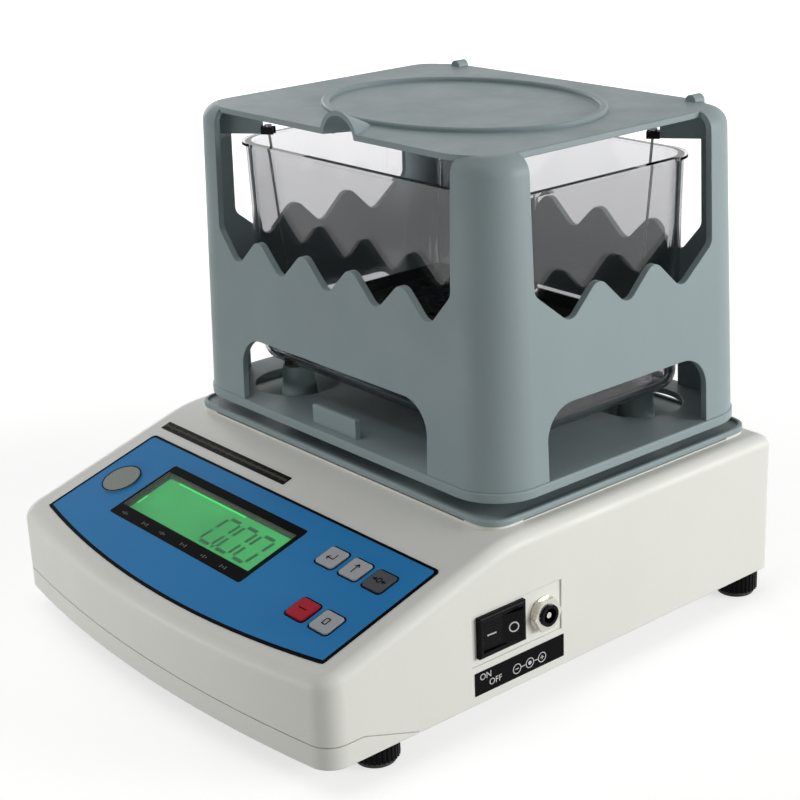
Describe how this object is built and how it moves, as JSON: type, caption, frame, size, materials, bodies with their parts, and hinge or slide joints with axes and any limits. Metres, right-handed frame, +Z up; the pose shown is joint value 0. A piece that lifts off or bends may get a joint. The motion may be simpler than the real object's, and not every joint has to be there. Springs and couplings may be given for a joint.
{
  "type": "bench density meter",
  "caption": "Bench scale with a sloping keypad and display, a load cell under a lift-off frame, a clear water tank and a hanging basket for weighing samples in air and in water",
  "frame": {"origin": "on the bench, under the middle of the housing; the switch and the power inlet stand 3.4 mm out of the right side and the left side bulges by 2.8 mm, so the box's middle lies 0.3 mm to the right", "axes": "X to the right as the keypad is used, Y to the back, Z up"},
  "size_m": [0.1966, 0.2212, 0.1948],
  "materials": {
    "ivory_plastic": "fine grain, satin",
    "grey_plastic": "fine grain, satin",
    "black_plastic": "semi gloss",
    "black_rubber": "matte",
    "clear_plastic": "clear, polished",
    "blue_film": "satin film with a dark edge line",
    "window_plastic": "smoked, polished",
    "display_glass": "clear",
    "backlight": "glowing green",
    "circuit_board": "solder mask",
    "key_light_grey": "satin",
    "key_dark_grey": "satin",
    "key_red": "satin",
    "badge": "satin",
    "black_film": "satin film",
    "aluminium": "milled",
    "steel": "zinc plated",
    "nickel": "nickel plated",
    "brass": "plain",
    "black_sheath": "insulation"
  },
  "bodies": {
    "base": {"upper_housing": "ivory_plastic", "lower_housing": "ivory_plastic", "housing_screws": "steel", "foot_inserts": "brass", "load_cell": "aluminium", "load_cell_base": "aluminium", "load_cell_base_screws": "steel", "overload_stop_screw": "steel", "tank_tray": "grey_plastic", "tray_screws": "steel", "tank_posts": "grey_plastic", "post_pads": "black_rubber", "panel_overlay": "blue_film", "display_window": "window_plastic", "lcd_glass": "display_glass", "lcd_backlight": "backlight", "lcd_frame": "black_plastic", "main_board": "circuit_board", "keypad_board": "circuit_board", "board_screws": "steel", "board_chips": "black_plastic", "board_connectors": "ivory_plastic", "buzzer": "black_plastic", "key_domes": "steel", "badge_disc": "badge", "spec_strip": "black_film", "side_label": "black_film", "rocker_switch_body": "black_plastic", "switch_terminals": "brass", "power_inlet": "black_plastic", "power_inlet_pin": "nickel", "power_inlet_washer": "nickel", "power_inlet_nut": "nickel", "power_leads": "black_sheath", "load_cell_cable": "black_sheath", "keypad_cable": "ivory_plastic"},
    "platform": {"pan_carrier": "aluminium", "load_cell_top_screws": "steel", "platform_screws": "steel", "weighing_plate": "grey_plastic"},
    "frame": {"weighing_frame": "grey_plastic", "hanger_hooks": "black_plastic"},
    "basket": {"basket_wires": "steel", "immersion_basket": "black_plastic"},
    "tank": {"water_tank": "clear_plastic"},
    "rocker": {"rocker": "black_plastic"},
    "set_key": {"set_key": "key_light_grey"},
    "up_key": {"up_key": "key_light_grey"},
    "zero_key": {"zero_key": "key_dark_grey"},
    "red_key": {"red_key": "key_red"},
    "function_key": {"function_key": "key_light_grey"},
    "foot_pad_front_left": {"foot_pad_front_left": "black_rubber"},
    "foot_knob_front_left": {"foot_knob_front_left": "black_plastic"},
    "foot_pad_front_right": {"foot_pad_front_right": "black_rubber"},
    "foot_knob_front_right": {"foot_knob_front_right": "black_plastic"},
    "foot_pad_back_left": {"foot_pad_back_left": "black_rubber"},
    "foot_knob_back_left": {"foot_knob_back_left": "black_plastic"},
    "foot_pad_back_right": {"foot_pad_back_right": "black_rubber"},
    "foot_knob_back_right": {"foot_knob_back_right": "black_plastic"}
  },
  "joints": [
    {"name": "platform_press", "type": "slide", "parent": "base", "child": "platform", "axis": [0, 0, 1], "range_m": [-0.0005, 0], "stiffness_N_per_m": 10000, "springref_m": 0.0005, "deforming": ["load_cell"]},
    {"name": "frame_lift", "type": "slide", "parent": "platform", "child": "frame", "axis": [0, 0, 1], "range_m": [0, 0.11]},
    {"name": "basket_unhook", "type": "slide", "parent": "frame", "child": "basket", "axis": [0, 0, 1], "range_m": [0, 0.0038]},
    {"name": "tank_lift", "type": "slide", "parent": "base", "child": "tank", "axis": [0, 0, 1], "range_m": [0, 0.003]},
    {"name": "power_rocker", "type": "hinge", "parent": "base", "child": "rocker", "pos_m": [0.095, -0.029, 0.0349], "axis": [0, 0, 1], "range_deg": [0, 20]},
    {"name": "set_key_press", "type": "slide", "parent": "base", "child": "set_key", "axis": [0, 0.2924, -0.9563], "range_m": [0, 0.0004], "stiffness_N_per_m": 3000, "springref_m": -0.0002},
    {"name": "up_key_press", "type": "slide", "parent": "base", "child": "up_key", "axis": [0, 0.2924, -0.9563], "range_m": [0, 0.0004], "stiffness_N_per_m": 3000, "springref_m": -0.0002},
    {"name": "zero_key_press", "type": "slide", "parent": "base", "child": "zero_key", "axis": [0, 0.2924, -0.9563], "range_m": [0, 0.0004], "stiffness_N_per_m": 3000, "springref_m": -0.0002},
    {"name": "red_key_press", "type": "slide", "parent": "base", "child": "red_key", "axis": [0, 0.2924, -0.9563], "range_m": [0, 0.0004], "stiffness_N_per_m": 3000, "springref_m": -0.0002},
    {"name": "function_key_press", "type": "slide", "parent": "base", "child": "function_key", "axis": [0, 0.2924, -0.9563], "range_m": [0, 0.0004], "stiffness_N_per_m": 3000, "springref_m": -0.0002},
    {"name": "foot_height_front_left", "type": "slide", "parent": "base", "child": "foot_pad_front_left", "axis": [0, 0, 1], "range_m": [-0.005, 0.0005]},
    {"name": "foot_turn_front_left", "type": "hinge", "parent": "foot_pad_front_left", "child": "foot_knob_front_left", "pos_m": [-0.0835, -0.0747, 0.006], "axis": [0, 0, 1], "range_deg": [-1800, 180]},
    {"name": "foot_height_front_right", "type": "slide", "parent": "base", "child": "foot_pad_front_right", "axis": [0, 0, 1], "range_m": [-0.005, 0.0005]},
    {"name": "foot_turn_front_right", "type": "hinge", "parent": "foot_pad_front_right", "child": "foot_knob_front_right", "pos_m": [0.0835, -0.0747, 0.006], "axis": [0, 0, 1], "range_deg": [-1800, 180]},
    {"name": "foot_height_back_left", "type": "slide", "parent": "base", "child": "foot_pad_back_left", "axis": [0, 0, 1], "range_m": [-0.005, 0.0005]},
    {"name": "foot_turn_back_left", "type": "hinge", "parent": "foot_pad_back_left", "child": "foot_knob_back_left", "pos_m": [-0.086, 0.1025, 0.006], "axis": [0, 0, 1], "range_deg": [-1800, 180]},
    {"name": "foot_height_back_right", "type": "slide", "parent": "base", "child": "foot_pad_back_right", "axis": [0, 0, 1], "range_m": [-0.005, 0.0005]},
    {"name": "foot_turn_back_right", "type": "hinge", "parent": "foot_pad_back_right", "child": "foot_knob_back_right", "pos_m": [0.086, 0.1025, 0.006], "axis": [0, 0, 1], "range_deg": [-1800, 180]}
  ],
  "couplings": [
    {"joint": "foot_turn_front_left", "follows": "foot_height_front_left", "rad_per_m": 6283.2},
    {"joint": "foot_turn_front_right", "follows": "foot_height_front_right", "rad_per_m": 6283.2},
    {"joint": "foot_turn_back_left", "follows": "foot_height_back_left", "rad_per_m": 6283.2},
    {"joint": "foot_turn_back_right", "follows": "foot_height_back_right", "rad_per_m": 6283.2}
  ]
}
